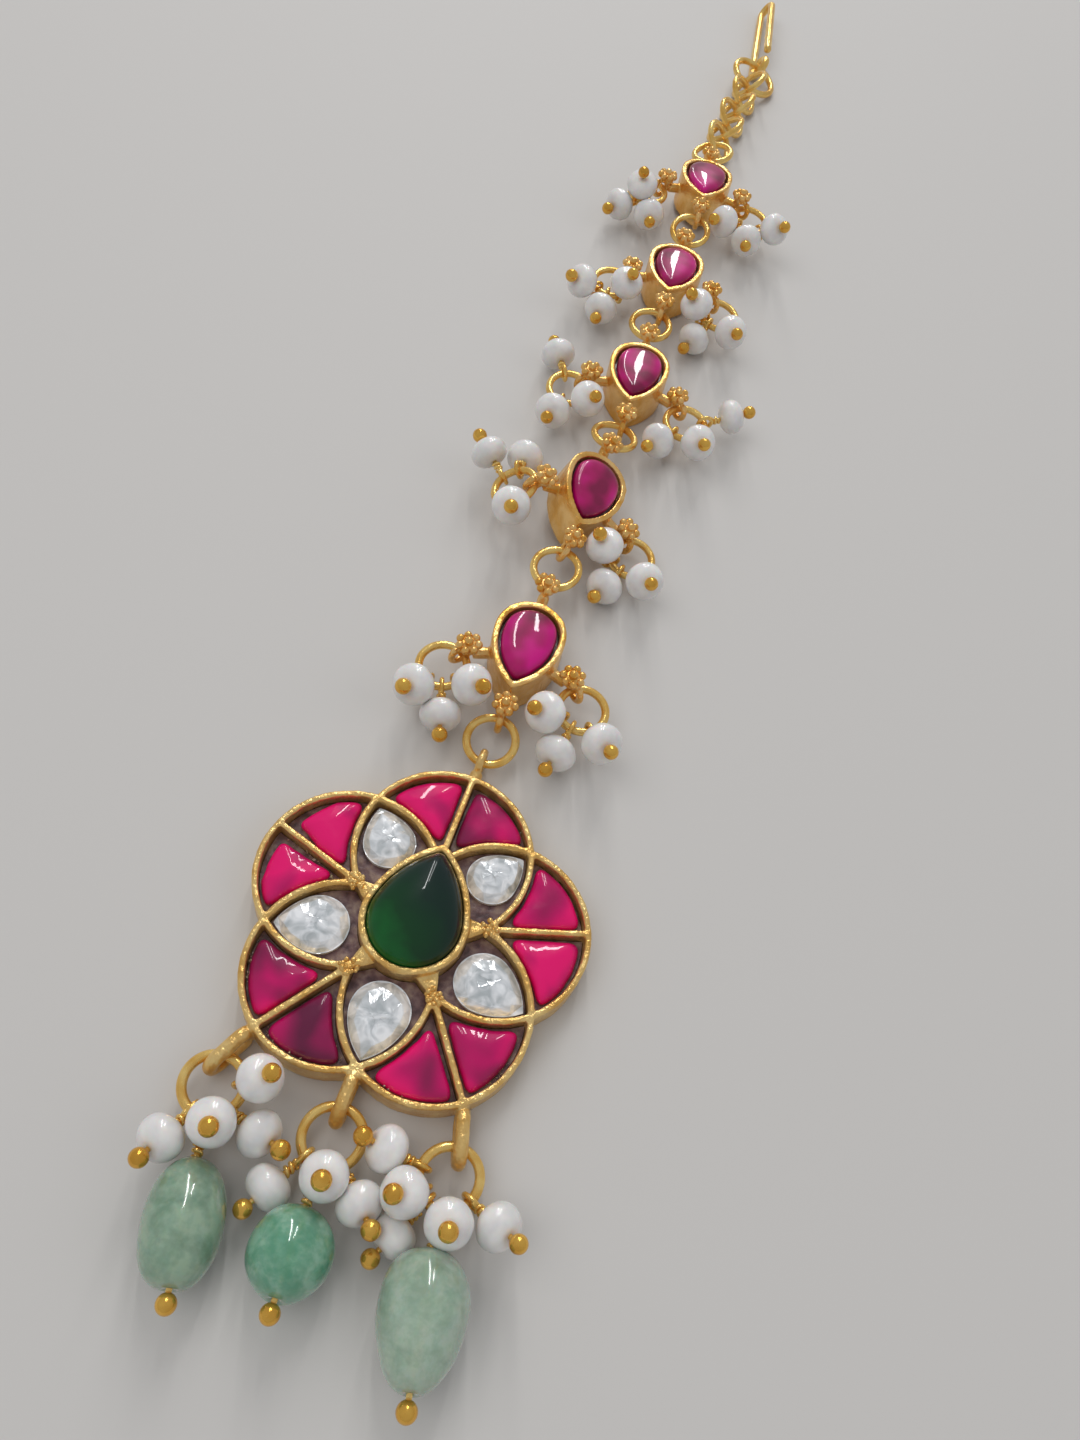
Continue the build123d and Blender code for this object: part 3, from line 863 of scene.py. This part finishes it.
def fine_pin(gold_form, ball_form, points, faces, stem):
    """A wire pin: a loop, a wrapped neck, a straight shank and a ball."""
    start, along, normal, length = read_pin(points, faces)
    across = np.cross(normal, along)
    centre = start + along * (PIN_WIRE + PIN_EYE)
    loop = []
    for turn in np.linspace(-0.1, 1.12, 40) * 2 * math.pi:
        bow = PIN_EYE * (math.sin(turn) * across + math.cos(turn) * along)
        loop.append(centre + bow + normal * 0.12 * MM * (turn / (2 * math.pi) - 0.5))
    gold_form.add(*wire(*round_ended(loop, PIN_WIRE), normal, sides=10))
    neck_start = centre + along * (PIN_EYE - 0.05 * MM)
    neck_length = stem - PIN_EYE - 0.17 * MM
    coil = []
    turns = max(2.0, neck_length / (2.05 * PIN_WIRE))
    for step in np.linspace(0, 1, int(16 * turns)):
        turn = step * turns * 2 * math.pi
        level = COIL_REACH * (math.sin(turn) * across + math.cos(turn) * normal)
        coil.append(neck_start + along * step * neck_length + level)
    gold_form.add(*wire(*round_ended(coil, COIL_WIRE), along, sides=8))
    shank_end = start + along * (length - BALL)
    shank = np.linspace(neck_start, shank_end, 6)
    gold_form.add(*wire(shank, [PIN_WIRE] * len(shank), normal, sides=10))
    ball_size = BALL * rng.uniform(0.86, 0.94)
    ball_form.add(*ball(shank_end - along * (BALL - ball_size), ball_size, 22, 13))


def fine_pearl(form, points, faces):
    """A button pearl, a little uneven, dimpled at its bore."""
    middle, (_, _, axis) = main_axes(points, faces)
    height = (points - middle) @ axis
    reach = np.linalg.norm(points - middle - np.outer(height, axis), axis=1).max()
    half = height.max()
    profile = []
    for step in np.linspace(-1, 1, 27):
        lean = step * math.pi / 2
        radius = reach * max(math.cos(lean), 0.0) ** 0.86
        tall = half * 1.02 * math.sin(lean)
        dimple = 0.16 * MM * math.exp(-((radius / (0.34 * MM)) ** 2))
        profile.append((max(radius, 0.12 * MM), tall - math.copysign(dimple, tall)))
    form.add(*turned(profile, middle, axis, columns=44, wobble=0.035))


def make_cluster(where, number, pins, stems):
    """The pins, their balls and the pearls of one link or drop. stems: each pin's neck."""
    wires, balls, pearls = Form(), Form(), Form()
    for (points, faces), stem in zip(pins, stems):
        fine_pin(wires, balls, points, faces, stem)
    for points, faces in solids(f"{where}_pearls_{number}"):
        fine_pearl(pearls, points, faces)
    make(f"{where}_pin_wires_{number}", wires, wire_gold, "gold", f"{where}_pins_{number}")
    make(f"{where}_balls_{number}", balls, ball_gold, "gold")
    pearls_node = f"{where}_pearls_{number}"
    make(f"{where}_button_pearls_{number}", pearls, pearl.material, "pearl", pearls_node)


def length_of(points, faces):
    """A solid's length along its longest main axis."""
    _, (along, _, _) = main_axes(points, faces)
    return np.ptp((points - points.mean(axis=0)) @ along)


def make_pearls_and_pins():
    """The clusters of the links and the drops, and each drop's bead."""
    for number in range(1, 6):
        pins = solids(f"link_pins_{number}")
        make_cluster("link", number, pins, [PEARL_STEM] * len(pins))
    for number in range(1, 4):
        pins = solids(f"drop_pins_{number}")
        longest = int(np.argmax([length_of(*pin) for pin in pins]))
        stems = [PEARL_STEM] * len(pins)
        stems[longest] = BEAD_STEMS[number - 1]
        make_cluster("drop", number, pins, stems)
        _, along, _, _ = read_pin(*pins[longest])
        make_bead(number, along)


def make_bead(number, along):
    """A tumbled bead on its pin's line, clear of the floor."""
    (points, faces), = solids(f"green_bead_{number}")
    middle, _ = main_axes(points, faces)
    height = (points - middle) @ along
    reach = np.linalg.norm(points - middle - np.outer(height, along), axis=1).max()
    half = np.ptp(height) / 2
    fullness, widening, uneven = BEAD_SHAPES[number - 1]
    profile = []
    for step in np.linspace(-1, 1, 61):
        lean = step * math.pi / 2
        tall = math.sin(lean)
        radius = reach * max(math.cos(lean), 0.0) ** fullness * (1 + widening * tall)
        dimple = 0.2 * MM * math.exp(-((radius / (0.4 * MM)) ** 2))
        profile.append((max(radius, 0.14 * MM), half * tall - math.copysign(dimple, tall)))
    lumps, sheets = turned(profile, middle, along, columns=96, wobble=uneven)
    lowest = min(lump[2] for lump in lumps)
    lift = np.array((0.0, 0.0, max(0.05 * MM - lowest, 0.0)))
    form = Form()
    form.add([lump + lift for lump in lumps], sheets)
    make(f"drop_bead_{number}", form, BEAD_FINISHES[number - 1], "green_bead", f"green_bead_{number}")


make_flower()
make_flower_stones()
make_links()
make_rings()
make_pearls_and_pins()
softened("hair_hook", "hook", wire_gold, "gold", 0.1 * MM, 30000)
for node in ("pendant_lac", "link_lac"):
    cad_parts[node].data.materials.clear()
    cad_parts[node].data.materials.append(lac.material)


# The floor
floor_finish = Finish("floor", "c6c3bf", Roughness=0.7)
corners = [(x, y, 0.0) for x in (-1.2, 1.2) for y in (-1.2, 1.2)]
mesh = bpy.data.meshes.new("floor")
mesh.from_pydata(corners, [], [(0, 2, 3, 1)])
mesh.materials.append(floor_finish.material)
ground = bpy.data.objects.new("floor", mesh)
bpy.context.scene.collection.objects.link(ground)


# Light

LAMP_AIM = Vector((0, 0.04, 0))


def lamp(name, heading, lift, distance, width, height, power, glossy=True):
    """A rectangular lamp that looks at the links. glossy: whether it shows in reflections."""
    level = math.cos(math.radians(lift))
    towards = Vector(bearing(heading) * level) + Vector((0, 0, math.sin(math.radians(lift))))
    light = bpy.data.lights.new(name, "AREA")
    light.shape = "RECTANGLE"
    light.size = width
    light.size_y = height
    light.energy = power
    item = bpy.data.objects.new(name, light)
    item.location = towards * distance + LAMP_AIM
    item.rotation_euler = towards.to_track_quat("Z", "Y").to_euler()
    item.visible_glossy = glossy
    bpy.context.scene.collection.objects.link(item)


lamp("window_left", -20, 38, 0.9, 0.035, 0.8, 1.8)
lamp("window_right", -4, 38, 0.9, 0.025, 0.6, 1.1)
lamp("soft_top", 250, 65, 1.1, 1.0, 1.0, 4.6, glossy=False)
lamp("soft_side", 90, 40, 1.2, 0.8, 0.8, 1.2, glossy=False)

world = bpy.data.worlds.new("studio")
world.use_nodes = True
background = world.node_tree.nodes["Background"]
background.inputs["Color"].default_value = (0.93, 0.95, 1.0, 1)
background.inputs["Strength"].default_value = 0.4
bpy.context.scene.world = world

# Camera
CAMERA_PLACE = Vector((5.57, -25.94, 76.0)) * MM
CAMERA_FORWARD = (-0.0276, 0.5262, -0.8499)
ROLL = math.radians(-17.2)
LENS = 27.05
SENSOR_WIDTH = 36

forward = Vector(CAMERA_FORWARD).normalized()
level_right = forward.cross(Vector((0, 0, 1))).normalized()
level_up = level_right.cross(forward)
right = math.cos(ROLL) * level_right - math.sin(ROLL) * level_up
up = math.sin(ROLL) * level_right + math.cos(ROLL) * level_up
lens = bpy.data.cameras.new("camera")
lens.lens = LENS
lens.sensor_width = SENSOR_WIDTH
lens.clip_start = 0.001
camera = bpy.data.objects.new("camera", lens)
camera.matrix_world = Matrix((
    (right.x, up.x, -forward.x, CAMERA_PLACE.x),
    (right.y, up.y, -forward.y, CAMERA_PLACE.y),
    (right.z, up.z, -forward.z, CAMERA_PLACE.z),
    (0, 0, 0, 1),
))
bpy.context.scene.collection.objects.link(camera)
bpy.context.scene.camera = camera
bpy.context.scene.view_settings.view_transform = "Standard"
